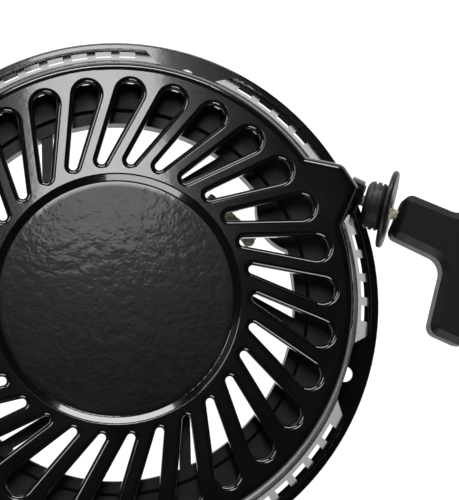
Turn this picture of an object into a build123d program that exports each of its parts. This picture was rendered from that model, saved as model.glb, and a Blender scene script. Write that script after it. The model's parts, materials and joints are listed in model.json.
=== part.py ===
"""Recoil starter for a small air-cooled engine, modelled as its separate pieces.

Frame: millimetres, origin on the starter's axis in the plane of the flange that
bolts to the engine. +Z points out through the slotted face, and +X is the way
that the rope is pulled.
"""

from build123d import *
from math import cos, hypot, radians, sin, sqrt
import os

# ---------------------------------------------------------------- driving dimensions

WALL = 2.0                      # sheet thickness of the case
GAP = 0.3                       # clearance between pieces that move past each other
FIT = 0.05                      # radial clearance of running fits
PRESS = 0.02                    # radial clearance of pieces that are pressed in

# case outline, as radii and heights
FLANGE_R = 120.0
FLANGE_T = 3.2
FACE_Z = 50.0
DISC_DROP = 2.0                 # how deep the centre disc lies below the face
DISC_R = 51.5
DISC_RAMP = 3.0
WALL_TOP_R = 103.4
KNEE_R, KNEE_Z = 107.8, 29.0    # where the steep wall turns into the sloping skirt
SKIRT_R = 116.8                 # foot of the skirt on the flange
FLANGE_BORE_R = 115.8
SHOULDER_FILLET = 4.0

# slots in the face
SLOT_COUNT = 30
SLOT_ANGLE = 110.3              # angle of one slot's outer end
SLOT_SLANT = 9.8                # how far its inner end lies ahead of that
SLOT_OUTER_R, SLOT_INNER_R = 90.2, 60.9
SLOT_OUTER_HALF, SLOT_INNER_HALF = 5.2, 1.8
SLOT_ROUNDING = 2.2
LIP_T = 1.8
LIP_Z = 44.5                    # lower edge of the lips round the slots

# bolting pads
PAD_COUNT = 4
PAD_ANGLE = 7.0
PAD_INNER_R = 106.4
PAD_ROOT_HALF, PAD_FLARE = 7.6, 36.0
PAD_REACH, PAD_OVERRUN = 6.0, 12.0  # how far the cut runs past the pad, inwards and outwards
PAD_CORNER = 6.0
BOLT_PCD = 218.0
BOLT_HOLE_R = 3.5

# windows in the skirt, counted from each pad
WINDOW_COUNT = 12
WINDOW_START = 14.5
WINDOW_PITCH = 61.0 / 11
WINDOW_WIDTH = 7.1
WINDOW_INNER_R = 109.9
WINDOW_FLOOR_Z = 9.0
OUTLET_QUADRANT = 0
OUTLET_WINDOWS = range(4, 8)    # the outlet bulge takes the place of these

# rope, reel and outlet
ROPE_R = 2.75
ROPE_LINE_Y = 87.2              # radius that the rope is wound at
GROOVE_FLOOR_R = ROPE_LINE_Y - ROPE_R
LANE_1_Z, LANE_2_Z = 13.5, 19.3
COIL_GAP_ANGLE = 26.0           # free arc where the rope leaves the second lane
OUTLET_END_X = 80.3
OUTLET_TAPER = 3.5
NOSE_R, NOSE_X, NOSE_LENGTH = 8.5, 80.6, 6.0
SEAT_R, SEAT_REACH = 12.5, 30.0
EYELET_BORE_R, EYELET_SLEEVE_R, EYELET_COLLAR_R = 3.6, 5.2, 7.2
EYELET_LENGTH, EYELET_HOLE_DEPTH = 7.6, 8.0
EYELET_FRONT_X = NOSE_X + 1.2

REEL_INNER_R, REEL_OUTER_R = 80.0, 98.0
REEL_BOTTOM_Z, REEL_TOP_Z = 8.0, 25.0
REEL_FLANGE_T = 2.5
REEL_LEDGE_R, REEL_LEDGE_Z = 86.5, 23.0
HUB_R, HUB_WALL = 54.0, 3.0
HUB_BOTTOM_Z, HUB_TOP_Z = 12.0, 42.5
COVER_T = 1.0
WEB_BOTTOM_Z, WEB_TOP_Z = 22.0, 25.0
BOSS_R = 17.0
BOSS_BOTTOM_Z = 14.3
SPOKE_COUNT = 6
SPOKE_WIDTH = 5.0
SPOKE_BOTTOM_Z, SPOKE_TOP_Z = 11.0, 21.5
ANCHOR_ANGLE = 51.0
ANCHOR_R, ANCHOR_CENTRE_R = 20.0, 93.0
SPRING_PEG_R = 1.4
SPRING_PEG_X, SPRING_PEG_Y = 49.0, -4.0

# post, bearings and screw
POST_R = 10.0
POST_END_Z = 14.0
PIN_START_X, PIN_LENGTH = 3.1, 12.2
POST_FLANGE_R, POST_FLANGE_T = 18.0, 2.5
BUSH_R = 12.0
SCREW_R = 4.0
SCREW_DEPTH = 16.0
WASHER_T = 1.5
SLEEVE_R = 8.0
GUIDE_R = 36.0
GUIDE_BOTTOM_Z, GUIDE_T = 8.2, 1.7
LOWER_WASHER_Z, LOWER_WASHER_T = 6.5, 1.2
BOLT_HEAD_T, BOLT_HEAD_FLATS = 5.3, 13.0

# recoil spring
SPRING_T, SPRING_TURNS = 0.8, 8
SPRING_OUTER_R, SPRING_INNER_R = 46.0, 12.4
SPRING_BOTTOM_Z, SPRING_TOP_Z = 27.0, 40.0
PIN_R = 1.5
PIN_Z = 33.5

# pawls
PAWL_COUNT = 2
PAWL_ANGLE = 30.0
PAWL_PIVOT_R = 27.0
PAWL_TIP = (-7.1, -23.7)        # from the pivot to the tip, folded in
PAWL_SWING = 25.0
GUIDE_SWING = 20.0
PAWL_EYE_R, PAWL_TIP_R = 6.0, 2.6
PAWL_BOTTOM_Z, PAWL_T = 11.5, 5.0
PAWL_PIN_R = 3.0
PEG_R, PEG_SHARE = 1.75, 0.565  # the peg's place along the pawl
PEG_BOTTOM_Z = 7.9
PAWL_BOSS_R = PAWL_PIN_R + 4
PAWL_SPRING_R, PAWL_WIRE_R = 8.1, 0.55
PAWL_SPRING_Z = (18.4, 19.8)
FRICTION_SPRING_R, FRICTION_WIRE_R = 10.2, 1.0
LOWER_WASHER_R = 12.5
CAM_CLEARANCE = 0.75

# handle
HANDLE_Y, HANDLE_Z = ROPE_LINE_Y, LANE_2_Z
BUMPER_R, BUMPER_LENGTH = 11.0, 9.4
BUMPER_BORE_R = 4.6
BUMPER_YAW, BUMPER_PITCH = 9.0, 9.0
BUMPER_MID_X = 88.7
BUMPER_ROUNDING = 3.0
BUMPER_GROOVES = (0.38, 0.66)   # as shares of its length
BUMPER_GROOVE_WIDTH, BUMPER_GROOVE_DEPTH = 1.2, 0.9
GUARD_R, GUARD_T = 17.8, 2.7
NECK_X = 99.4
NECK_HALF, NECK_END_HALF = 10.4, 11.2
BAR_ROOT_X, BAR_INNER_END_X = 127.3, 133.0
BAR_HALF_LENGTH = 43.0
BAR_OUTER_X, BAR_OUTER_END_X = 150.6, 153.6
GRIP_HALF_HEIGHT = 10.8
GRIP_BEVEL = 3.2
POCKET_DEPTH = 2.4
KNOT_SEAT_X = 130.0
KNOT_BORE_R = 7.0
KNOT_R = 5.8
PLUG_T = 4.0

os.makedirs("parts", exist_ok=True)


def polar(radius, angle):
    """A point at this radius and angle in the XY plane."""
    return (radius * cos(radians(angle)), radius * sin(radians(angle)))


def turned(point, angle):
    """A point turned about the starter's axis."""
    x, y = point
    c, s = cos(radians(angle)), sin(radians(angle))
    return (x * c - y * s, x * s + y * c)


def level(z, angle=0.0):
    """A horizontal plane at height z, turned about the starter's axis."""
    return Plane.XY.offset(z).rotated((0, 0, angle))


def across(x, y=HANDLE_Y, z=HANDLE_Z):
    """A plane that faces along the rope, centred on its line."""
    return Plane(origin=(x, y, z), x_dir=(0, 1, 0), z_dir=(1, 0, 0))


def tapered_slot(outer_half, inner_half):
    """The outline of the slot whose outer end lies on the local X axis."""
    with BuildSketch(mode=Mode.PRIVATE) as outline:
        with Locations((SLOT_OUTER_R, 0)):
            Circle(outer_half)
        with Locations(polar(SLOT_INNER_R, SLOT_SLANT)):
            Circle(inner_half)
        make_hull()
    return outline.sketch


def write(part, name):
    """Label a finished piece and write it under its node's name."""
    part.label = name
    export_step(part, f"parts/{name}.step")


# ---------------------------------------------------------------- starter case

ceiling_z = FACE_Z - WALL
disc_z = FACE_Z - DISC_DROP

outer_outline = [
    (0, disc_z),
    (DISC_R, disc_z),
    (DISC_R + DISC_RAMP, FACE_Z),
    (WALL_TOP_R, FACE_Z),
    (KNEE_R, KNEE_Z),
    (SKIRT_R, FLANGE_T),
    (FLANGE_R, FLANGE_T),
    (FLANGE_R, 0),
    (0, 0),
]
inner_outline = [
    (0, disc_z - WALL),
    (DISC_R + 0.7, disc_z - WALL),
    (DISC_R + DISC_RAMP + 0.7, ceiling_z),
    (WALL_TOP_R - WALL, ceiling_z),
    (KNEE_R - WALL, KNEE_Z - 1.0),
    (SKIRT_R - WALL, FLANGE_T),
    (FLANGE_BORE_R, 0),
    (FLANGE_BORE_R, -1),
    (0, -1),
]
outlet_outline = [
    (35, 55),
    (OUTLET_END_X, 55),
    (OUTLET_END_X, 89.5),
    (67.5, 97.6),
    (45, 92.5),
]
pad_outline = [
    (PAD_INNER_R - PAD_REACH, -PAD_ROOT_HALF),
    (PAD_INNER_R - PAD_REACH, PAD_ROOT_HALF),
    (FLANGE_R + PAD_OVERRUN, PAD_FLARE),
    (FLANGE_R + PAD_OVERRUN, -PAD_FLARE),
]

with BuildSketch(mode=Mode.PRIVATE) as outlet_plan:
    with BuildLine():
        FilletPolyline(*outlet_outline, radius=[0, 0, 5, 8, 0], close=True)
    make_face()

with BuildSketch(mode=Mode.PRIVATE) as pad_plan:
    with BuildLine():
        Polyline(*pad_outline, close=True)
    make_face()
    Circle(PAD_INNER_R, mode=Mode.SUBTRACT)
    fillet(pad_plan.vertices().group_by(Axis.X)[0], radius=PAD_CORNER)

with BuildPart() as cavity:
    with BuildSketch(Plane.XZ):
        with BuildLine():
            FilletPolyline(*inner_outline, radius=[0, 0.8, 0.8, 2, 2, 0, 0, 0, 0], close=True)
        make_face()
    revolve(axis=Axis.Z)
    # the bolting pads stand into the hollow
    with BuildSketch(level(-1, PAD_ANGLE)):
        with PolarLocations(0, PAD_COUNT):
            add(offset(pad_plan.sketch, WALL, mode=Mode.PRIVATE))
    extrude(amount=FACE_Z, mode=Mode.SUBTRACT)
    # the outlet bulge is hollow too
    with BuildSketch(level(-1)):
        add(offset(outlet_plan.sketch, -WALL, mode=Mode.PRIVATE))
    extrude(amount=ceiling_z + 1, taper=OUTLET_TAPER)
    # solid metal stays behind and round the flat seat of the rope's nose
    with BuildSketch(across(NOSE_X - WALL)):
        Circle(SEAT_R + WALL)
    extrude(amount=SEAT_REACH, mode=Mode.SUBTRACT)

with BuildPart() as starter_case:
    with BuildSketch(Plane.XZ):
        with BuildLine():
            FilletPolyline(*outer_outline, radius=[0, 1.2, 1.2, 0, 3, 0.8, 1, 0, 0], close=True)
        make_face()
    revolve(axis=Axis.Z)
    with BuildSketch():
        add(outlet_plan.sketch)
    extrude(amount=FACE_Z, taper=OUTLET_TAPER)
    # one rounded shoulder runs round the face and the outlet
    face_edges = starter_case.faces().sort_by(Axis.Z)[-1].outer_wire().edges()
    fillet(face_edges, radius=SHOULDER_FILLET)
    with BuildSketch(level(FLANGE_T, PAD_ANGLE)):
        with PolarLocations(0, PAD_COUNT):
            add(pad_plan.sketch)
    extrude(amount=FACE_Z, mode=Mode.SUBTRACT)
    add(cavity.part, mode=Mode.SUBTRACT)
    # the nose that carries the eyelet, with a flat seat cut for it into the skirt
    with BuildSketch(across(NOSE_X - NOSE_LENGTH)):
        Circle(NOSE_R)
    extrude(amount=NOSE_LENGTH)
    with BuildSketch(across(NOSE_X)):
        Circle(SEAT_R)
    extrude(amount=SEAT_REACH, mode=Mode.SUBTRACT)
    with BuildSketch(across(NOSE_X - EYELET_HOLE_DEPTH)):
        Circle(EYELET_SLEEVE_R + 0.1)
    extrude(amount=EYELET_HOLE_DEPTH + 2, mode=Mode.SUBTRACT)
    # lips round the slots, then the slots with their rounded upper edges
    with BuildSketch(level(LIP_Z, SLOT_ANGLE)):
        with PolarLocations(0, SLOT_COUNT):
            add(tapered_slot(SLOT_OUTER_HALF + LIP_T, SLOT_INNER_HALF + LIP_T))
    extrude(amount=ceiling_z - LIP_Z + WALL / 2)
    with BuildSketch(level(LIP_Z - 1, SLOT_ANGLE)):
        with PolarLocations(0, SLOT_COUNT):
            add(tapered_slot(SLOT_OUTER_HALF, SLOT_INNER_HALF))
    extrude(amount=FACE_Z, mode=Mode.SUBTRACT)
    slot_edges = [
        edge
        for edge in starter_case.edges().group_by(Axis.Z)[-1]
        if all(DISC_R + 4 < hypot(v.X, v.Y) < SLOT_OUTER_R + 7 for v in edge.vertices())
    ]
    fillet(slot_edges, radius=SLOT_ROUNDING)
    # windows in the skirt
    window_angles = [
        PAD_ANGLE + quadrant * 360 / PAD_COUNT + WINDOW_START + WINDOW_PITCH * index
        for quadrant in range(PAD_COUNT)
        for index in range(WINDOW_COUNT)
        if not (quadrant == OUTLET_QUADRANT and index in OUTLET_WINDOWS)
    ]
    with BuildSketch(level(WINDOW_FLOOR_Z)):
        for angle in window_angles:
            with Locations(Location((*polar(WINDOW_INNER_R, angle), 0), (0, 0, angle))):
                Rectangle(20, WINDOW_WIDTH, align=(Align.MIN, Align.CENTER))
    extrude(amount=KNEE_Z, mode=Mode.SUBTRACT)
    with BuildSketch(level(-1, PAD_ANGLE)):
        with PolarLocations(BOLT_PCD / 2, PAD_COUNT):
            Circle(BOLT_HOLE_R)
    extrude(amount=FLANGE_T + 2, mode=Mode.SUBTRACT)
write(starter_case.part, "starter_case")

with BuildPart() as rope_eyelet:
    with BuildSketch(Plane(origin=(0, HANDLE_Y, HANDLE_Z))):
        with BuildLine():
            FilletPolyline(
                (NOSE_X - EYELET_LENGTH, EYELET_BORE_R),
                (NOSE_X - EYELET_LENGTH, EYELET_SLEEVE_R),
                (NOSE_X + PRESS, EYELET_SLEEVE_R),
                (NOSE_X + PRESS, EYELET_COLLAR_R),
                (EYELET_FRONT_X, EYELET_COLLAR_R - 0.4),
                (EYELET_FRONT_X, EYELET_BORE_R),
                radius=[0.4, 0.4, 0, 0.3, 0.5, 0.6],
                close=True,
            )
        make_face()
    revolve(axis=Axis((0, HANDLE_Y, HANDLE_Z), (1, 0, 0)))
write(rope_eyelet.part, "rope_eyelet")

# ---------------------------------------------------------------- post and recoil spring

post_top_z = disc_z - WALL
with BuildPart() as centre_post:
    with BuildSketch(level(post_top_z - POST_FLANGE_T)):
        Circle(POST_FLANGE_R)
    extrude(amount=POST_FLANGE_T)
    with BuildSketch(level(POST_END_Z)):
        Circle(POST_R)
    extrude(amount=post_top_z - POST_END_Z)
    chamfer(centre_post.edges().group_by(Axis.Z)[0], length=0.6)
    with BuildSketch(level(POST_END_Z)):
        Circle(SCREW_R + PRESS)
    extrude(amount=SCREW_DEPTH, mode=Mode.SUBTRACT)
    # cross hole for the pin that holds the spring
    with BuildSketch(Plane.YZ.offset(PIN_START_X - 0.1)):
        with Locations((0, PIN_Z)):
            Circle(PIN_R)
    extrude(amount=POST_R, mode=Mode.SUBTRACT)
write(centre_post.part, "centre_post")

with BuildPart() as spring_anchor_pin:
    with BuildSketch(Plane.YZ.offset(PIN_START_X)):
        with Locations((0, PIN_Z)):
            Circle(PIN_R - PRESS)
    extrude(amount=PIN_LENGTH)
write(spring_anchor_pin.part, "spring_anchor_pin")

# a flat spiral of half circles whose centres change sides at every half turn,
# hooked over the reel's peg outside and pinned to the post inside
half_step = (SPRING_OUTER_R - SPRING_INNER_R) / (2 * SPRING_TURNS)
spring_start_x = SPRING_OUTER_R + half_step / 2
spring_end_x = SPRING_INNER_R + half_step / 2
hook_r = SPRING_PEG_X - spring_start_x
with BuildPart() as recoil_spring:
    with BuildSketch(level(SPRING_BOTTOM_Z)):
        with BuildLine():
            CenterArc((SPRING_PEG_X, SPRING_PEG_Y), hook_r, 180, 110)
            Line((spring_start_x, SPRING_PEG_Y), (spring_start_x, 0))
            for half_turn in range(2 * SPRING_TURNS):
                side = half_step / 2 if half_turn % 2 == 0 else -half_step / 2
                radius = SPRING_OUTER_R - half_step * half_turn
                start = 0 if half_turn % 2 == 0 else 180
                CenterArc((side, 0), radius, start, 180)
            Line((spring_end_x, 0), (spring_end_x, 4))
        trace(line_width=SPRING_T)
    extrude(amount=SPRING_TOP_Z - SPRING_BOTTOM_Z)
    with BuildSketch(Plane.YZ.offset(POST_R + 1)):
        with Locations((0, PIN_Z)):
            Circle(PIN_R + 0.1)
    extrude(amount=5, mode=Mode.SUBTRACT)
write(recoil_spring.part, "recoil_spring")

# ---------------------------------------------------------------- reel


def spoke_point(radius):
    """Where a spoke's centre line, in line with a slot, crosses this radius."""
    outer = Vector(SLOT_OUTER_R, 0)
    inner = Vector(*polar(SLOT_INNER_R, SLOT_SLANT))
    along = (outer - inner).normalized()
    reach = inner.dot(along)
    return inner + along * (sqrt(reach**2 + radius**2 - inner.dot(inner)) - reach)


spoke_start = spoke_point(HUB_R - HUB_WALL / 2)
spoke_end = spoke_point((REEL_INNER_R + GROOVE_FLOOR_R) / 2)
spoke_middle = (spoke_start + spoke_end) * 0.5
spoke_slant = (spoke_end - spoke_start).get_angle(Vector(1, 0, 0))

with BuildPart() as reel:
    with BuildSketch(Plane.XZ):
        with BuildLine():
            Polyline(
                (REEL_INNER_R, REEL_BOTTOM_Z),
                (REEL_OUTER_R, REEL_BOTTOM_Z),
                (REEL_OUTER_R, REEL_BOTTOM_Z + REEL_FLANGE_T),
                (GROOVE_FLOOR_R, REEL_BOTTOM_Z + REEL_FLANGE_T),
                (GROOVE_FLOOR_R, REEL_TOP_Z - REEL_FLANGE_T),
                (REEL_OUTER_R, REEL_TOP_Z - REEL_FLANGE_T),
                (REEL_OUTER_R, REEL_TOP_Z),
                (REEL_LEDGE_R, REEL_TOP_Z),
                (REEL_LEDGE_R - 1.5, REEL_LEDGE_Z),
                (REEL_INNER_R, REEL_LEDGE_Z),
                close=True,
            )
        make_face()
        with BuildLine():
            Polyline(
                (BUSH_R, BOSS_BOTTOM_Z),
                (BOSS_R, BOSS_BOTTOM_Z),
                (BOSS_R, WEB_BOTTOM_Z),
                (HUB_R - HUB_WALL, WEB_BOTTOM_Z),
                (HUB_R - HUB_WALL, HUB_BOTTOM_Z),
                (HUB_R, HUB_BOTTOM_Z),
                (HUB_R, HUB_TOP_Z),
                (HUB_R - HUB_WALL, HUB_TOP_Z),
                (HUB_R - HUB_WALL, WEB_TOP_Z),
                (BUSH_R, WEB_TOP_Z),
                close=True,
            )
        make_face()
    revolve(axis=Axis.Z)
    with BuildSketch(level(SPOKE_BOTTOM_Z, SLOT_ANGLE)):
        with PolarLocations(0, SPOKE_COUNT, start_angle=2 * 360 / SLOT_COUNT):
            with Locations(Location(spoke_middle, (0, 0, -spoke_slant))):
                Rectangle((spoke_end - spoke_start).length, SPOKE_WIDTH)
    extrude(amount=SPOKE_TOP_Z - SPOKE_BOTTOM_Z)
    # boss inside the rim that the rope is knotted through
    with BuildSketch(level(REEL_BOTTOM_Z, ANCHOR_ANGLE)):
        Circle(REEL_INNER_R + 2)
        with Locations((ANCHOR_CENTRE_R, 0)):
            Circle(ANCHOR_R, mode=Mode.INTERSECT)
    extrude(amount=REEL_LEDGE_Z - REEL_BOTTOM_Z)
    anchor_plane = Plane(origin=(0, 0, LANE_1_Z), z_dir=(*polar(1, ANCHOR_ANGLE), 0))
    with BuildSketch(anchor_plane.offset(ANCHOR_CENTRE_R - ANCHOR_R - 1)):
        Circle(ROPE_R + GAP)
    extrude(amount=GROOVE_FLOOR_R - ANCHOR_CENTRE_R + ANCHOR_R + 2, mode=Mode.SUBTRACT)
    # peg that the spring's outer end pulls on, and bosses for the pawl pins
    with BuildSketch(level(WEB_TOP_Z - 1)):
        with Locations((SPRING_PEG_X, SPRING_PEG_Y)):
            Circle(SPRING_PEG_R)
    extrude(amount=SPRING_TOP_Z - WEB_TOP_Z)
    with BuildSketch(level(PAWL_BOTTOM_Z + PAWL_T + GAP, PAWL_ANGLE)):
        with PolarLocations(PAWL_PIVOT_R, PAWL_COUNT):
            Circle(PAWL_BOSS_R)
    extrude(amount=WEB_BOTTOM_Z - PAWL_BOTTOM_Z - PAWL_T)
    with BuildSketch(level(PAWL_BOTTOM_Z, PAWL_ANGLE)):
        with PolarLocations(PAWL_PIVOT_R, PAWL_COUNT):
            Circle(PAWL_PIN_R + PRESS)
    extrude(amount=WEB_TOP_Z - PAWL_BOTTOM_Z - 1, mode=Mode.SUBTRACT)
write(reel.part, "reel")

with BuildPart() as reel_bush:
    with BuildSketch(level(BOSS_BOTTOM_Z)):
        Circle(BUSH_R - PRESS)
        Circle(POST_R + FIT, mode=Mode.SUBTRACT)
    extrude(amount=WEB_TOP_Z - BOSS_BOTTOM_Z)
write(reel_bush.part, "reel_bush")

with BuildPart() as spring_cover:
    with BuildSketch(level(HUB_TOP_Z - COVER_T)):
        Circle(HUB_R - HUB_WALL - PRESS)
        Circle(POST_R + 2, mode=Mode.SUBTRACT)
    extrude(amount=COVER_T)
write(spring_cover.part, "spring_cover")

# ---------------------------------------------------------------- pawls and their guide


def peg_offset(swing):
    """From a pawl's pivot to its peg, with the pawl swung out by this angle."""
    return turned((PAWL_TIP[0] * PEG_SHARE, PAWL_TIP[1] * PEG_SHARE), swing)


def pawl_pivot(number):
    """Where this pawl turns."""
    return polar(PAWL_PIVOT_R, PAWL_ANGLE + number * 360 / PAWL_COUNT)


folded_peg = peg_offset(0)
thrown_peg = peg_offset(PAWL_SWING)

for number in range(PAWL_COUNT):
    pawl_turn = PAWL_ANGLE + number * 360 / PAWL_COUNT
    with BuildPart() as pawl:
        with BuildSketch(level(PAWL_BOTTOM_Z, pawl_turn)):
            with Locations((PAWL_PIVOT_R, 0)):
                Circle(PAWL_EYE_R)
            with Locations((PAWL_PIVOT_R + PAWL_TIP[0], PAWL_TIP[1])):
                Circle(PAWL_TIP_R)
            make_hull()
        extrude(amount=PAWL_T)
        with BuildSketch(level(PEG_BOTTOM_Z, pawl_turn)):
            with Locations((PAWL_PIVOT_R + folded_peg[0], folded_peg[1])):
                Circle(PEG_R)
        extrude(amount=PAWL_BOTTOM_Z - PEG_BOTTOM_Z + 1)
        with BuildSketch(level(PAWL_BOTTOM_Z - 1, pawl_turn)):
            with Locations((PAWL_PIVOT_R, 0)):
                Circle(PAWL_PIN_R + FIT)
        extrude(amount=PAWL_T + 2, mode=Mode.SUBTRACT)
    write(pawl.part, f"pawl_{number + 1}")

    # two turns of wire round the boss, each a ring left open at the pawl's side
    pivot = Plane(origin=(*pawl_pivot(number), 0)).rotated((0, 0, pawl_turn - 60))
    wire_plane = Plane(origin=pivot.origin, x_dir=pivot.x_dir, z_dir=-pivot.y_dir)
    with BuildPart() as pawl_spring:
        for wire_z in PAWL_SPRING_Z:
            with BuildSketch(wire_plane):
                with Locations((PAWL_SPRING_R, wire_z)):
                    Circle(PAWL_WIRE_R)
            revolve(axis=Axis(pivot.origin, (0, 0, 1)), revolution_arc=330)
    write(pawl_spring.part, f"pawl_spring_{number + 1}")

with BuildPart() as pawl_pins:
    with BuildSketch(level(PAWL_BOTTOM_Z - 0.5, PAWL_ANGLE)):
        with PolarLocations(PAWL_PIVOT_R, PAWL_COUNT):
            Circle(PAWL_PIN_R)
    extrude(amount=WEB_TOP_Z - PAWL_BOTTOM_Z - 0.6)
write(pawl_pins.part, "pawl_pins")

cam_start = (PAWL_PIVOT_R + folded_peg[0], folded_peg[1])
cam_end = turned((PAWL_PIVOT_R + thrown_peg[0], thrown_peg[1]), -GUIDE_SWING)
with BuildPart() as ratchet_guide:
    with BuildSketch(level(GUIDE_BOTTOM_Z)):
        Circle(GUIDE_R)
        Circle(SLEEVE_R + FIT, mode=Mode.SUBTRACT)
    extrude(amount=GUIDE_T)
    for number in range(PAWL_COUNT):
        with BuildSketch(level(GUIDE_BOTTOM_Z, PAWL_ANGLE + number * 360 / PAWL_COUNT)):
            with Locations(cam_start, cam_end):
                Circle(PEG_R + CAM_CLEARANCE)
            make_hull()
        extrude(amount=GUIDE_T, mode=Mode.SUBTRACT)
    fillet(ratchet_guide.edges().filter_by(GeomType.CIRCLE).sort_by(SortBy.RADIUS)[-2:], radius=0.5)
write(ratchet_guide.part, "ratchet_guide")

with BuildPart() as friction_spring:
    with BuildSketch(Plane.XZ):
        with Locations((FRICTION_SPRING_R, GUIDE_BOTTOM_Z + GUIDE_T + GAP + FRICTION_WIRE_R)):
            Circle(FRICTION_WIRE_R)
    revolve(axis=Axis.Z, revolution_arc=340)
write(friction_spring.part, "friction_spring")

with BuildPart() as thrust_washer:
    with BuildSketch(level(POST_END_Z - WASHER_T)):
        Circle(BOSS_R - 0.5)
        Circle(SCREW_R + 0.2, mode=Mode.SUBTRACT)
    extrude(amount=WASHER_T)
write(thrust_washer.part, "thrust_washer")

sleeve_bottom_z = LOWER_WASHER_Z + LOWER_WASHER_T
with BuildPart() as guide_sleeve:
    with BuildSketch(level(sleeve_bottom_z)):
        Circle(SLEEVE_R)
        Circle(SCREW_R + 0.1, mode=Mode.SUBTRACT)
    extrude(amount=POST_END_Z - WASHER_T - sleeve_bottom_z)
write(guide_sleeve.part, "guide_sleeve")

with BuildPart() as retaining_washer:
    with BuildSketch(level(LOWER_WASHER_Z)):
        Circle(LOWER_WASHER_R)
        Circle(SCREW_R + 0.2, mode=Mode.SUBTRACT)
    extrude(amount=LOWER_WASHER_T)
    washer_rims = retaining_washer.edges().filter_by(GeomType.CIRCLE).sort_by(SortBy.RADIUS)
    chamfer(washer_rims[-2:], length=0.3)
write(retaining_washer.part, "retaining_washer")

with BuildPart() as centre_bolt:
    head_bottom_z = LOWER_WASHER_Z - BOLT_HEAD_T
    with BuildSketch(level(head_bottom_z)):
        RegularPolygon(BOLT_HEAD_FLATS / 2, 6, major_radius=False)
    extrude(amount=BOLT_HEAD_T)
    with BuildSketch(Plane.XZ):
        with BuildLine():
            Polyline(
                (0, head_bottom_z),
                (BOLT_HEAD_FLATS / 2 - 0.4, head_bottom_z),
                (BOLT_HEAD_FLATS / 2 + 1.4, head_bottom_z + 1.1),
                (BOLT_HEAD_FLATS / 2 + 1.4, LOWER_WASHER_Z),
                (0, LOWER_WASHER_Z),
                close=True,
            )
        make_face()
    revolve(axis=Axis.Z, mode=Mode.INTERSECT)
    with BuildSketch(level(LOWER_WASHER_Z)):
        Circle(SCREW_R)
    extrude(amount=POST_END_Z - LOWER_WASHER_Z + SCREW_DEPTH - 2)
    chamfer(centre_bolt.edges().group_by(Axis.Z)[-1], length=0.8)
write(centre_bolt.part, "centre_bolt")

# ---------------------------------------------------------------- rope

with BuildPart() as rope_coil:
    with BuildSketch(Plane.XZ):
        with Locations((ROPE_LINE_Y, LANE_1_Z)):
            Circle(ROPE_R)
    revolve(axis=Axis.Z)
    # the second lane stops short of the straight run that leaves it at the top of the turn
    with BuildSketch(Plane.YZ):
        with Locations((ROPE_LINE_Y, LANE_2_Z)):
            Circle(ROPE_R)
    revolve(axis=Axis.Z, revolution_arc=360 - COIL_GAP_ANGLE)
write(rope_coil.part, "rope_coil")

tail_start_r = ANCHOR_CENTRE_R - ANCHOR_R - 5.6
tail_start = Vector(*polar(tail_start_r, ANCHOR_ANGLE), LANE_1_Z)
tail_end = Vector(*polar(63.0, ANCHOR_ANGLE + 22), LANE_1_Z + 3.5)
with BuildPart() as rope_tail_knot:
    with Locations(tail_start):
        Sphere(5.2)
    with BuildSketch(Plane(origin=tail_start, z_dir=(*polar(1, ANCHOR_ANGLE), 0))):
        Circle(ROPE_R)
    extrude(amount=GROOVE_FLOOR_R - tail_start_r - 0.1)
    with BuildSketch(Plane(origin=tail_start, z_dir=tail_end - tail_start)):
        Circle(ROPE_R)
    extrude(amount=(tail_end - tail_start).length)
write(rope_tail_knot.part, "rope_tail_knot")

with BuildPart() as rope_run:
    with BuildSketch(across(GAP)):
        Circle(ROPE_R)
    extrude(amount=KNOT_SEAT_X + WASHER_T)
write(rope_run.part, "rope_run")

# ---------------------------------------------------------------- handle

bumper_axis = Vector(
    cos(radians(BUMPER_YAW)) * cos(radians(BUMPER_PITCH)),
    sin(radians(BUMPER_YAW)) * cos(radians(BUMPER_PITCH)),
    sin(radians(BUMPER_PITCH)),
)
bumper_middle = Vector(BUMPER_MID_X, HANDLE_Y, HANDLE_Z)
bumper_start = Plane(origin=bumper_middle - bumper_axis * BUMPER_LENGTH / 2, z_dir=bumper_axis)
guard_start = bumper_start.offset(BUMPER_LENGTH + 0.05)

with BuildPart() as handle_bumper:
    with BuildSketch(bumper_start):
        Circle(BUMPER_R)
    extrude(amount=BUMPER_LENGTH)
    fillet(handle_bumper.edges(), radius=BUMPER_ROUNDING)
    # shallow grooves round the drum
    for share in BUMPER_GROOVES:
        with BuildSketch(bumper_start.offset(BUMPER_LENGTH * share - BUMPER_GROOVE_WIDTH / 2)):
            Circle(BUMPER_R + 1)
            Circle(BUMPER_R - BUMPER_GROOVE_DEPTH, mode=Mode.SUBTRACT)
        extrude(amount=BUMPER_GROOVE_WIDTH, mode=Mode.SUBTRACT)
    with BuildSketch(bumper_start.offset(-1)):
        Circle(BUMPER_BORE_R)
    extrude(amount=BUMPER_LENGTH + 2, mode=Mode.SUBTRACT)
write(handle_bumper.part, "handle_bumper")

with BuildPart() as guard_disc:
    with BuildSketch(guard_start):
        Circle(GUARD_R)
    extrude(amount=GUARD_T)
    fillet(guard_disc.edges(), radius=1.2)
    with BuildSketch(guard_start.offset(-1)):
        Circle(BUMPER_BORE_R)
    extrude(amount=GUARD_T + 2, mode=Mode.SUBTRACT)
write(guard_disc.part, "guard_disc")

grip_half = [
    (NECK_X, 0),
    (NECK_X, NECK_HALF),
    (BAR_ROOT_X, NECK_END_HALF),
    (BAR_INNER_END_X, BAR_HALF_LENGTH),
    (BAR_OUTER_END_X, BAR_HALF_LENGTH),
    (BAR_OUTER_X, 0),
]
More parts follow.
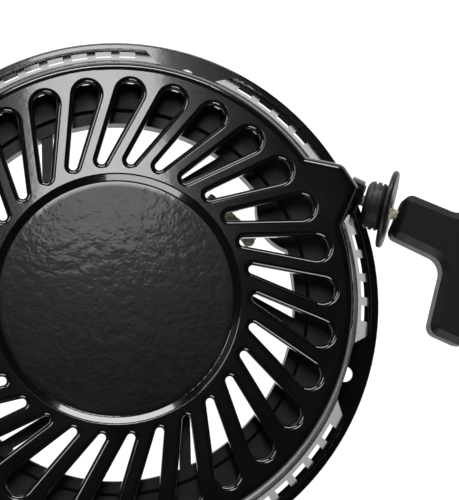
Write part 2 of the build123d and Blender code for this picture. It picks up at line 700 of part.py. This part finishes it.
# a shallow pocket in the top and bottom of each arm of the bar
pocket_half = [
    (139.5, 9.5),
    (146.0, 38.0),
    (149.5, 38.0),
    (146.5, 9.5),
]
with BuildPart() as handle_grip:
    with BuildSketch(Plane(origin=(0, HANDLE_Y, HANDLE_Z - GRIP_HALF_HEIGHT))):
        with BuildLine():
            FilletPolyline(*grip_half, radius=[0, 4, 8, 5, 7, 0], close=True)
        make_face()
        mirror(about=Plane.XZ)
    extrude(amount=2 * GRIP_HALF_HEIGHT)
    bottom_face, top_face = handle_grip.faces().filter_by(Axis.Z).sort_by(Axis.Z)
    chamfer(bottom_face.edges() + top_face.edges(), length=GRIP_BEVEL)
    for floor_z in (-GRIP_HALF_HEIGHT, GRIP_HALF_HEIGHT - POCKET_DEPTH):
        with BuildSketch(Plane(origin=(0, HANDLE_Y, HANDLE_Z + floor_z))):
            with BuildLine():
                FilletPolyline(*pocket_half, radius=[3, 1.4, 1.4, 3], close=True)
            make_face()
            mirror(about=Plane.XZ)
        extrude(amount=POCKET_DEPTH, mode=Mode.SUBTRACT)
    with BuildSketch(across(KNOT_SEAT_X)):
        Circle(KNOT_BORE_R)
    extrude(amount=40, mode=Mode.SUBTRACT)
    with BuildSketch(across(NECK_X - 1)):
        Circle(ROPE_R + 0.5)
    extrude(amount=50, mode=Mode.SUBTRACT)
write(handle_grip.part, "handle_grip")

with BuildPart() as knot_washer:
    with BuildSketch(across(KNOT_SEAT_X)):
        Circle(KNOT_BORE_R - 0.4)
        Circle(ROPE_R + 0.3, mode=Mode.SUBTRACT)
    extrude(amount=WASHER_T)
write(knot_washer.part, "knot_washer")

with BuildPart() as handle_knot:
    with Locations((KNOT_SEAT_X + WASHER_T + GAP + KNOT_R, HANDLE_Y, HANDLE_Z)):
        Sphere(KNOT_R)
write(handle_knot.part, "handle_knot")

with BuildPart() as grip_plug:
    with BuildSketch(across(BAR_OUTER_X - PLUG_T - 0.5)):
        Circle(KNOT_BORE_R - PRESS)
    extrude(amount=PLUG_T)
    fillet(grip_plug.edges().group_by(Axis.X)[-1], radius=1.0)
write(grip_plug.part, "grip_plug")
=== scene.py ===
"""Recoil starter: materials, braided rope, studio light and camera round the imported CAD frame.

Metres, in the frame of the CAD model: origin on the starter's axis in the plane of the
flange, +Z out through the slotted face, +X the way that the rope is pulled.
"""

import json
import math

import bpy
from mathutils import Euler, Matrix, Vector


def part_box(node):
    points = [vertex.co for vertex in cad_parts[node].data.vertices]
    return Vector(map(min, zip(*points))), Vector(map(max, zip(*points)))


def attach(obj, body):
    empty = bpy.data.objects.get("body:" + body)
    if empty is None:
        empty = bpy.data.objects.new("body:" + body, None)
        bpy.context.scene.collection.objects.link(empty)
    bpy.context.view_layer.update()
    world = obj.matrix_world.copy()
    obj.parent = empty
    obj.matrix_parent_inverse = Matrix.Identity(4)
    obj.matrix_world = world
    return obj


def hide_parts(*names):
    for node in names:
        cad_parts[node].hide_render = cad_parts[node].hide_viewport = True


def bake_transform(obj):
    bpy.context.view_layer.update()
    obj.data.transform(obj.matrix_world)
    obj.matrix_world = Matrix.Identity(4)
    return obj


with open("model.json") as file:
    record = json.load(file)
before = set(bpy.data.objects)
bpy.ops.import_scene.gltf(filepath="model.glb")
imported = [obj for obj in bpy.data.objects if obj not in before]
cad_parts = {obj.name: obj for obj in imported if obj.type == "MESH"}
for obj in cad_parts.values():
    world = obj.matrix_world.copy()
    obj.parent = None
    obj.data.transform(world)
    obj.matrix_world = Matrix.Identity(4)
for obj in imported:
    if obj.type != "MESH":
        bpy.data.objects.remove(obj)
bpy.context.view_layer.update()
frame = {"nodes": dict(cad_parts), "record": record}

MM = 0.001

# camera: almost straight above the starter, turned so that the rope leaves to the lower right
CAMERA_PLACE = (0.0206, -0.0545, 1.0615)
CAMERA_TURN = (4.48, -2.97, 23.89)      # degrees about X, Y and Z
CAMERA_LENS = 167.7                     # millimetres on a 36 mm sensor
IMAGE_UP = 114.0                        # azimuth of the picture's upward direction, from +X

# room and floor; the floor's glow is painted light, a painted pool of light full near the starter and
# fading away from it
ROOM_STRENGTH = 0.45
ROOM_LOW, ROOM_HIGH = 0.05, 0.40        # heights on the unit sphere between which the room darkens
ROOM_LOW_SHADE, ROOM_HIGH_SHADE = 0.4, 0.06
FLOOR_HALF = 12.0
FLOOR_Z = -0.5 * MM
FLOOR_GLOW_NEAR, FLOOR_GLOW_FAR = 1.12, 0.30
FLOOR_NEAR_R, FLOOR_FAR_R = 0.30, 2.20

# studio lights, all this far from the starter: name, azimuth, tilt from straight up, width, height
# along the tilt, and radiance
LIGHT_DISTANCE = 1.5
LIGHTS = (
    ("key", IMAGE_UP + 3.2, 13.6, 0.14, 0.44, 17.0),
    ("fill", IMAGE_UP + 58, 48, 0.7, 0.6, 9.0),
    ("back", IMAGE_UP, 64, 1.3, 0.34, 18.0),
    ("front", IMAGE_UP + 166, 64, 0.9, 0.55, 12.0),
)

# noise runs from 0 to 1, but hardly ever leaves this range
NOISE_LOW, NOISE_HIGH = 0.3, 0.7

# sockets of a Mix node that mixes colours, by their place
MIX_FACTOR, MIX_FIRST, MIX_SECOND, MIX_RESULT = 0, 6, 7, 2

# the case's sunken centre disc, which is painted less glossy than the rest
DISC_EDGE_R, DISC_LOW_Z = 51.0, 46.0    # millimetres

# rope, as in the CAD model
ROPE_R = 2.75 * MM
COIL_R = 87.2 * MM
LOWER_LANE_Z, UPPER_LANE_Z = 13.5 * MM, 19.3 * MM
ANCHOR_ANGLE = 51.0                     # where the rope goes in through the reel's rim
LEAVE_ANGLE = 90.0                      # where it leaves the coil for the outlet
LANE_CHANGE = 60.0                      # arc over which the rope steps from lane to lane
KNOT_LINE_R = 3.0 * MM
TAIL_KNOT_R = 67.4 * MM
TAIL_END_R, TAIL_END_ANGLE, TAIL_END_Z = 63.0 * MM, 73.0, 17.0 * MM
STRAND_WIDE, STRAND_THIN = 1.06 * MM, 0.78 * MM
STRAND_MIDDLE_R = 1.62 * MM
STRAND_WEAVE = 0.26 * MM
BRAID_LAY = 21.0 * MM                   # length of rope for one turn of a strand
STRANDS_EACH_WAY = 4
STRAND_SIDES = 6
BRAID_STEP = 0.9 * MM
KNOT_POINTS = 90
KNOT_DEPTH = 1.3                        # of a knot line that reaches out to 3


# ---------------------------------------------------------------- camera, floor and light


def make_camera():
    data = bpy.data.cameras.new("camera")
    data.lens = CAMERA_LENS
    data.sensor_width = 36.0
    data.clip_start, data.clip_end = 0.01, 20.0
    camera = bpy.data.objects.new("camera", data)
    camera.location = CAMERA_PLACE
    camera.rotation_euler = Euler([math.radians(a) for a in CAMERA_TURN], "XYZ")
    bpy.context.scene.collection.objects.link(camera)
    bpy.context.scene.camera = camera


def toward(azimuth, tilt):
    """The unit vector that leans away from straight up by tilt, toward this azimuth."""
    a, t = math.radians(azimuth), math.radians(tilt)
    return Vector((math.cos(a) * math.sin(t), math.sin(a) * math.sin(t), math.cos(t)))


def softbox(name, azimuth, tilt, width, height, radiance):
    """A rectangular studio light that faces the starter's centre; height runs along its tilt."""
    data = bpy.data.lights.new(name, "AREA")
    data.shape = "RECTANGLE"
    data.size, data.size_y = width, height
    data.energy = radiance * math.pi * width * height
    light = bpy.data.objects.new(name, data)
    way = toward(azimuth, tilt)
    light.location = way * LIGHT_DISTANCE
    light.rotation_mode = "QUATERNION"
    light.rotation_quaternion = (-way).to_track_quat("-Z", "Y")
    light.visible_camera = False
    bpy.context.scene.collection.objects.link(light)


def make_world():
    """A dim room, paler toward the horizon."""
    world = bpy.data.worlds.new("room")
    bpy.context.scene.world = world
    world.use_nodes = True
    tree = world.node_tree
    background = tree.nodes["Background"]
    place = tree.nodes.new("ShaderNodeTexCoord")
    split = tree.nodes.new("ShaderNodeSeparateXYZ")
    ramp = tree.nodes.new("ShaderNodeValToRGB")
    ramp.color_ramp.interpolation = "EASE"
    ends = ((ROOM_LOW, ROOM_LOW_SHADE), (ROOM_HIGH, ROOM_HIGH_SHADE))
    for element, (position, shade) in zip(ramp.color_ramp.elements, ends):
        element.position = position
        element.color = (shade, shade, shade, 1)
    tree.links.new(place.outputs["Generated"], split.inputs[0])
    tree.links.new(split.outputs["Z"], ramp.inputs["Fac"])
    tree.links.new(ramp.outputs["Color"], background.inputs["Color"])
    background.inputs["Strength"].default_value = ROOM_STRENGTH


def make_floor():
    """A white floor whose glow is painted light: full near the starter and fading away from it, a
    painted pool of light.
    """
    mesh = bpy.data.meshes.new("floor")
    signs = ((-1, -1), (1, -1), (1, 1), (-1, 1))
    corners = [(x * FLOOR_HALF, y * FLOOR_HALF, FLOOR_Z) for x, y in signs]
    mesh.from_pydata(corners, [], [(0, 1, 2, 3)])
    floor = bpy.data.objects.new("floor", mesh)
    bpy.context.scene.collection.objects.link(floor)
    material = bpy.data.materials.new("floor")
    material.use_nodes = True
    shader = material.node_tree.nodes["Principled BSDF"]
    shader.inputs["Base Color"].default_value = (0.06, 0.06, 0.06, 1)
    shader.inputs["Roughness"].default_value = 0.9
    shader.inputs["Emission Color"].default_value = (1, 1, 1, 1)
    tree = material.node_tree
    reach = tree.nodes.new("ShaderNodeVectorMath")
    reach.operation = "LENGTH"
    # the floor's emission fades with distance from the starter: a painted pool of light
    painted_pool_of_light = tree.nodes.new("ShaderNodeMapRange")
    painted_pool_of_light.inputs["From Min"].default_value = FLOOR_NEAR_R
    painted_pool_of_light.inputs["From Max"].default_value = FLOOR_FAR_R
    painted_pool_of_light.inputs["To Min"].default_value = FLOOR_GLOW_NEAR
    painted_pool_of_light.inputs["To Max"].default_value = FLOOR_GLOW_FAR
    tree.links.new(tree.nodes.new("ShaderNodeTexCoord").outputs["Object"], reach.inputs[0])
    tree.links.new(reach.outputs["Value"], painted_pool_of_light.inputs["Value"])
    tree.links.new(painted_pool_of_light.outputs["Result"], shader.inputs["Emission Strength"])
    mesh.materials.append(material)


make_camera()
make_world()
make_floor()
for light_values in LIGHTS:
    softbox(*light_values)
bpy.context.scene.view_settings.view_transform = "Standard"


# ---------------------------------------------------------------- materials


class Surface:
    """A node material built step by step on one Principled shader."""

    def __init__(self, name, **values):
        self.material = bpy.data.materials.new(name)
        self.material.use_nodes = True
        self.tree = self.material.node_tree
        self.shader = self.tree.nodes["Principled BSDF"]
        self.place = self.tree.nodes.new("ShaderNodeTexCoord").outputs["Object"]
        self.height = None
        for socket, value in values.items():
            self.shader.inputs[socket.replace("_", " ")].default_value = value

    def node(self, kind, **inputs):
        """Add a node of this kind with these inputs."""
        made = self.tree.nodes.new(kind)
        for socket, value in inputs.items():
            self.feed(made.inputs[socket.replace("_", " ")], value)
        return made

    def feed(self, socket, value):
        """Link an output to this socket, or set it to a plain value."""
        if isinstance(value, bpy.types.NodeSocket):
            self.tree.links.new(value, socket)
        else:
            socket.default_value = value

    def math(self, operation, first, second=0.0):
        """The result of one mathematical operation."""
        made = self.tree.nodes.new("ShaderNodeMath")
        made.operation = operation
        self.feed(made.inputs[0], first)
        self.feed(made.inputs[1], second)
        return made.outputs[0]

    def noise(self, size, detail=2.0, roughness=0.5, place=None):
        """Noise whose largest lumps are about this many millimetres across."""
        scale = 1.0 / (size * MM)
        made = self.node("ShaderNodeTexNoise", Scale=scale, Detail=detail, Roughness=roughness)
        self.feed(made.inputs["Vector"], place or self.place)
        return made.outputs["Fac"]

    def stretched(self, x, y, z):
        """The object's coordinates, stretched by these factors."""
        made = self.tree.nodes.new("ShaderNodeMapping")
        self.feed(made.inputs["Vector"], self.place)
        made.inputs["Scale"].default_value = (x, y, z)
        return made.outputs[0]

    def spread(self, value, low, high, start=0.0, end=1.0):
        """Map value from start..end to low..high."""
        made = self.node("ShaderNodeMapRange")
        self.feed(made.inputs["Value"], value)
        made.inputs["From Min"].default_value = start
        made.inputs["From Max"].default_value = end
        made.inputs["To Min"].default_value = low
        made.inputs["To Max"].default_value = high
        return made.outputs[0]

    def mixed(self, share, first, second, blend="MIX"):
        """The first colour with this share of the second."""
        mix = self.tree.nodes.new("ShaderNodeMix")
        mix.data_type = "RGBA"
        mix.blend_type = blend
        self.feed(mix.inputs[MIX_FACTOR], share)
        self.feed(mix.inputs[MIX_FIRST], first)
        self.feed(mix.inputs[MIX_SECOND], second)
        return mix.outputs[MIX_RESULT]

    def rough(self, value, low, high):
        """Roughness between low and high, by a noise value."""
        gloss = self.spread(value, low, high, NOISE_LOW, NOISE_HIGH)
        self.feed(self.shader.inputs["Roughness"], gloss)

    def tint(self, value, dark, light):
        """Base colour between dark and light, by a noise value."""
        share = self.spread(value, 0.0, 1.0, NOISE_LOW, NOISE_HIGH)
        self.feed(self.shader.inputs["Base Color"], self.mixed(share, (*dark, 1), (*light, 1)))

    def bump(self, value, depth, strength=1.0):
        """Raise the surface by value times depth millimetres."""
        made = self.node("ShaderNodeBump", Height=value, Distance=depth * MM)
        self.feed(made.inputs["Strength"], strength)
        if self.height is not None:
            self.feed(made.inputs["Normal"], self.height)
        self.height = made.outputs[0]
        self.feed(self.shader.inputs["Normal"], self.height)

    def near_axis(self, radius, low_z):
        """1 within this radius of the starter's axis and above low_z, in millimetres; 0 elsewhere."""
        split = self.tree.nodes.new("ShaderNodeSeparateXYZ")
        self.feed(split.inputs[0], self.place)
        x, y, z = split.outputs
        squares = self.math("ADD", self.math("POWER", x, 2.0), self.math("POWER", y, 2.0))
        reach = self.math("POWER", squares, 0.5)
        inside = self.spread(reach, 1.0, 0.0, (radius - 2) * MM, radius * MM)
        above = self.math("GREATER_THAN", z, low_z * MM)
        return self.math("MULTIPLY", inside, above)


def case_paint():
    """Gloss black stoving paint, wavy with orange peel, most of all on the centre disc."""
    paint = Surface("case_paint", IOR=1.25, Coat_IOR=1.5, Coat_Roughness=0.05)
    paint.tint(paint.noise(30), (0.0015, 0.0015, 0.0017), (0.003, 0.003, 0.0033))
    disc = paint.near_axis(DISC_EDGE_R, DISC_LOW_Z)
    gloss = paint.spread(paint.noise(18, detail=5), 0.13, 0.19, NOISE_LOW, NOISE_HIGH)
    duller = paint.math("MULTIPLY", disc, 0.08)
    paint.feed(paint.shader.inputs["Roughness"], paint.math("ADD", gloss, duller))
    paint.feed(paint.shader.inputs["Coat Weight"], paint.spread(disc, 0.55, 0.10))
    paint.bump(paint.noise(2.6, detail=2), 0.004)
    paint.bump(paint.noise(6, detail=2), 0.06, paint.spread(disc, 0.06, 1.0))
    paint.bump(paint.noise(2.6, detail=2, roughness=0.6), 0.035, disc)
    paint.feed(paint.shader.inputs["Coat Normal"], paint.height)
    return paint.material


def moulded(name, shade, low, high, grain=0.9, depth=0.02, ior=1.5):
    """Moulded plastic with a fine grain and slightly uneven gloss."""
    plastic = Surface(name, IOR=ior)
    plastic.tint(plastic.noise(14, detail=4), [c * 0.8 for c in shade], [c * 1.3 for c in shade])
    plastic.rough(plastic.noise(6, detail=5), low, high)
    plastic.bump(plastic.noise(grain, detail=3), depth)
    plastic.bump(plastic.noise(12), 0.03)
    return plastic.material


def rubber():
    """Black rubber, dull, with the faint bloom that a moulded buffer has."""
    made = Surface("bumper_rubber", IOR=1.4)
    made.tint(made.noise(5, detail=5), (0.004, 0.004, 0.004), (0.009, 0.009, 0.0085))
    made.rough(made.noise(4, detail=5), 0.42, 0.62)
    made.bump(made.noise(0.7, detail=4), 0.03)
    return made.material


def metal(name, colour, low, high, stretch=(1, 1, 1), line=1.2, depth=0.006):
    """Bare or plated metal with fine tool marks along the axes of least stretch."""
    steel = Surface(name, Metallic=1.0)
    marks = steel.noise(line, detail=4, roughness=0.65, place=steel.stretched(*stretch))
    cloud = steel.noise(9, detail=4)
    steel.tint(cloud, [c * 0.82 for c in colour], [min(1.0, c * 1.12) for c in colour])
    steel.rough(marks, low, high)
    steel.bump(marks, depth)
    return steel.material


def rope_yarn():
    """Cream nylon yarn with a yellow-green fleck and fine fibres."""
    yarn = Surface("rope_fibre", Roughness=0.75, Sheen_Weight=0.35, Sheen_Roughness=0.4)
    strand = yarn.tree.nodes.new("ShaderNodeAttribute")
    strand.attribute_name = "strand"
    clean = yarn.mixed(strand.outputs["Fac"], (0.74, 0.70, 0.52, 1), (0.42, 0.50, 0.10, 1))
    soil = yarn.spread(yarn.noise(9, detail=4), 0.0, 0.45, 0.45, 0.75)
    worn = yarn.mixed(soil, clean, (0.45, 0.40, 0.30, 1), blend="MULTIPLY")
    yarn.feed(yarn.shader.inputs["Base Color"], worn)
    yarn.bump(yarn.noise(0.25, detail=4, roughness=0.7), 0.08)
    return yarn.material


materials = {
    "case_paint": case_paint(),
    "reel_plastic": moulded("reel_plastic", (0.010, 0.010, 0.0105), 0.38, 0.48, ior=1.4),
    "grip_plastic": moulded("grip_plastic", (0.002, 0.002, 0.0022), 0.46, 0.58, ior=1.3),
    "guard_plastic": moulded("guard_plastic", (0.002, 0.002, 0.002), 0.36, 0.46, ior=1.33),
    "bumper_rubber": rubber(),
    "eyelet_plastic": moulded("eyelet_plastic", (0.008, 0.008, 0.008), 0.3, 0.45),
    "rope_fibre": rope_yarn(),
    "machined_steel": metal("machined_steel", (0.46, 0.46, 0.47), 0.22, 0.40, stretch=(1, 1, 6)),
    "zinc_steel": metal("zinc_steel", (0.62, 0.61, 0.57), 0.26, 0.46),
    "hardened_steel": metal("hardened_steel", (0.20, 0.20, 0.21), 0.28, 0.48, depth=0.012),
    "spring_steel": metal("spring_steel", (0.25, 0.26, 0.30), 0.20, 0.38, stretch=(1, 1, 5)),
    "cover_steel": metal("cover_steel", (0.40, 0.40, 0.41), 0.30, 0.50, stretch=(1, 5, 1)),
    "bush_bronze": metal("bush_bronze", (0.60, 0.42, 0.20), 0.34, 0.52, line=0.5, depth=0.02),
}

for part in frame["record"]["subparts"]:
    node = frame["nodes"][part["node"]]
    node.data.materials.clear()
    node.data.materials.append(materials[part["material_slot"]])


# ---------------------------------------------------------------- rope


def carried_frames(points):
    """The tangent and two crossways unit vectors at each point, carried along without twist."""
    last = len(points) - 1
    tangents = [(points[min(i + 1, last)] - points[max(i - 1, 0)]).normalized() for i in range(last + 1)]
    side = tangents[0].orthogonal().normalized()
    frames = []
    for tangent in tangents:
        side = (side - tangent * side.dot(tangent)).normalized()
        frames.append((tangent, side.copy(), tangent.cross(side)))
    return frames


def strand_rings(points, way, number):
    """The corners of one strand's rings: it winds this way round the rope, over and under the others."""
    travelled = 0.0
    rings = []
    for i, (point, (tangent, side, up)) in enumerate(zip(points, carried_frames(points))):
        if i:
            travelled += (point - points[i - 1]).length
        turn = 2 * math.pi * (number / STRANDS_EACH_WAY + way * travelled / BRAID_LAY)
        weave = math.cos(2 * math.pi * STRANDS_EACH_WAY * travelled / BRAID_LAY)
        outward = side * math.cos(turn) + up * math.sin(turn)
        around = tangent.cross(outward)
        centre = point + outward * (STRAND_MIDDLE_R + way * STRAND_WEAVE * weave)
        ring = []
        for corner in range(STRAND_SIDES):
            angle = 2 * math.pi * corner / STRAND_SIDES
            sideways = around * (STRAND_WIDE * math.cos(angle))
            ring.append(centre + sideways + outward * (STRAND_THIN * math.sin(angle)))
        rings.append(ring)
    return rings


def tube_faces(base, ring_count):
    """The faces of a tube with closed ends, whose rings of corners start at this vertex."""
    end = base + ring_count * STRAND_SIDES
    faces = []
    for start in range(base, end - STRAND_SIDES, STRAND_SIDES):
        for corner in range(STRAND_SIDES):
            a, b = start + corner, start + (corner + 1) % STRAND_SIDES
            faces.append((a, b, b + STRAND_SIDES, a + STRAND_SIDES))
    faces.append(tuple(reversed(range(base, base + STRAND_SIDES))))
    faces.append(tuple(range(end - STRAND_SIDES, end)))
    return faces


def braid(name, *paths):
    """A round braid along each path, made of strands wound both ways."""
    vertices, faces, shades = [], [], []
    for path in paths:
        points = [Vector(p) for p in path]
        for way in (1, -1):
            for number in range(STRANDS_EACH_WAY):
                rings = strand_rings(points, way, number)
                faces += tube_faces(len(vertices), len(rings))
                for ring in rings:
                    vertices += ring
                fleck = 1.0 if way == 1 and number == 0 else 0.0
                shades += [fleck] * (len(rings) * STRAND_SIDES)
    mesh = bpy.data.meshes.new(name)
    mesh.from_pydata(vertices, [], faces)
    mesh.attributes.new("strand", "FLOAT", "POINT").data.foreach_set("value", shades)
    mesh.shade_smooth()
    mesh.materials.append(materials["rope_fibre"])
    rope = bpy.data.objects.new(name, mesh)
    bpy.context.scene.collection.objects.link(rope)
    return rope


def straight(start, end):
    """Points along a straight line, a braid step apart."""
    start, end = Vector(start), Vector(end)
    count = max(2, round((end - start).length / BRAID_STEP))
    return [start.lerp(end, i / count) for i in range(count + 1)]


def smooth_step(t):
    """0 up to t = 0 and 1 from t = 1, with an S curve between."""
    t = min(1.0, max(0.0, t))
    return t * t * (3 - 2 * t)


def coil_path():
    """From where the rope leaves, round the upper lane, down to the lower one and on to the anchor."""
    total = 360 + 360 + ANCHOR_ANGLE - LEAVE_ANGLE
    step = math.degrees(BRAID_STEP / COIL_R)
    count = round(total / step)
    path = []
    for i in range(count + 1):
        wound = total * i / count
        angle = math.radians(LEAVE_ANGLE + wound)
        share = smooth_step((wound - 360 + LANE_CHANGE) / LANE_CHANGE)
        z = UPPER_LANE_Z + (LOWER_LANE_Z - UPPER_LANE_Z) * share
        path.append((COIL_R * math.cos(angle), COIL_R * math.sin(angle), z))
    return path


def knot_path(centre, size):
    """The line of an overhand knot pulled tight, centred here, its line within this radius."""
    centre = Vector(centre)
    reach = size / 3
    path = []
    for i in range(KNOT_POINTS):
        t = 2 * math.pi * i / KNOT_POINTS
        x = -KNOT_DEPTH * math.sin(3 * t)
        y = math.sin(t) + 2 * math.sin(2 * t)
        z = math.cos(t) - 2 * math.cos(2 * t)
        path.append(centre + Vector((x, y, z)) * reach)
    return path


def on_circle(radius, angle):
    """A point at this radius and angle in degrees round the starter's axis."""
    return radius * math.cos(math.radians(angle)), radius * math.sin(math.radians(angle))


def middle(node):
    """The middle of a CAD node's box."""
    low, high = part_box(node)
    return (low + high) / 2


coil = braid("braided_coil", coil_path())
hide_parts("rope_coil")
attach(coil, "reel")

run_low, run_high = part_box("rope_run")
run_middle = middle("rope_run")
run_start = (run_low.x, run_middle.y, run_middle.z)
run_end = (run_high.x, run_middle.y, run_middle.z)
run = braid("braided_run", straight(run_start, run_end))
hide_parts("rope_run")
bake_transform(run)

grip_knot = braid("braided_handle_knot", knot_path(middle("handle_knot"), KNOT_LINE_R))
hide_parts("handle_knot")
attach(grip_knot, "handle")

tail_knot = Vector((*on_circle(TAIL_KNOT_R, ANCHOR_ANGLE), LOWER_LANE_Z))
tail_end = Vector((*on_circle(TAIL_END_R, TAIL_END_ANGLE), TAIL_END_Z))
rim_point = Vector((*on_circle(COIL_R - ROPE_R, ANCHOR_ANGLE), LOWER_LANE_Z))
tail = braid(
    "braided_tail",
    straight(rim_point, tail_knot),
    knot_path(tail_knot, KNOT_LINE_R),
    straight(tail_knot, tail_end),
)
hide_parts("rope_tail_knot")
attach(tail, "reel")
